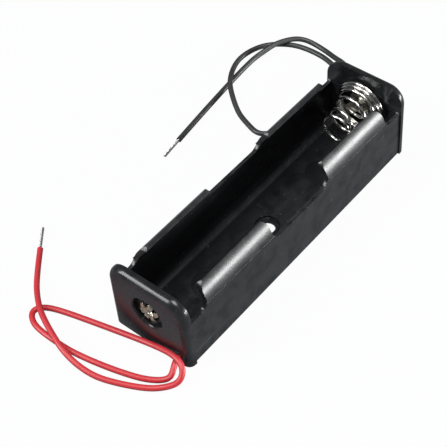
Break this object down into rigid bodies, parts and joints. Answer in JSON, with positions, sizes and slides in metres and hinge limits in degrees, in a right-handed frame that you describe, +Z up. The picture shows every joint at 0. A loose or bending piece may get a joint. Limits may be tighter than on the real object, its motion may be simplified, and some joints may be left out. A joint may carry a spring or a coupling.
{
  "type": "cylindrical cell holder",
  "caption": "Open moulded tray that holds one cylindrical cell between a riveted contact button and a conical spring, with two loose stripped leads.",
  "frame": {"origin": "centre of the tray's underside", "axes": "+X runs along the tray towards the spring end, +Z is up out of the tray's mouth"},
  "size_m": [0.1086, 0.0525, 0.019],
  "materials": {
    "black_plastic": "satin moulded black plastic",
    "plated_brass": "nickel-plated brass",
    "solder": "bright solder",
    "red_insulation": "red PVC",
    "black_insulation": "black PVC",
    "tinned_copper": "tinned strands",
    "spring_steel": "bright nickel-plated wire"
  },
  "bodies": {
    "holder": {"tray": "black_plastic", "positive_tag": "plated_brass", "positive_rivet": "plated_brass", "positive_solder_joint": "solder", "red_lead": "red_insulation", "red_lead_bare_end": "tinned_copper", "red_lead_inner_end": "tinned_copper", "negative_tag": "plated_brass", "negative_rivet": "plated_brass", "negative_solder_joint": "solder", "black_lead": "black_insulation", "black_lead_bare_end": "tinned_copper", "black_lead_inner_end": "tinned_copper"},
    "spring_tip": {"contact_spring": "spring_steel"}
  },
  "joints": [
    {"name": "spring_travel", "type": "slide", "parent": "holder", "child": "spring_tip", "axis": [1, 0, 0], "range_m": [0, 0.006], "stiffness_N_per_m": 800, "deforming": ["contact_spring"]}
  ]
}
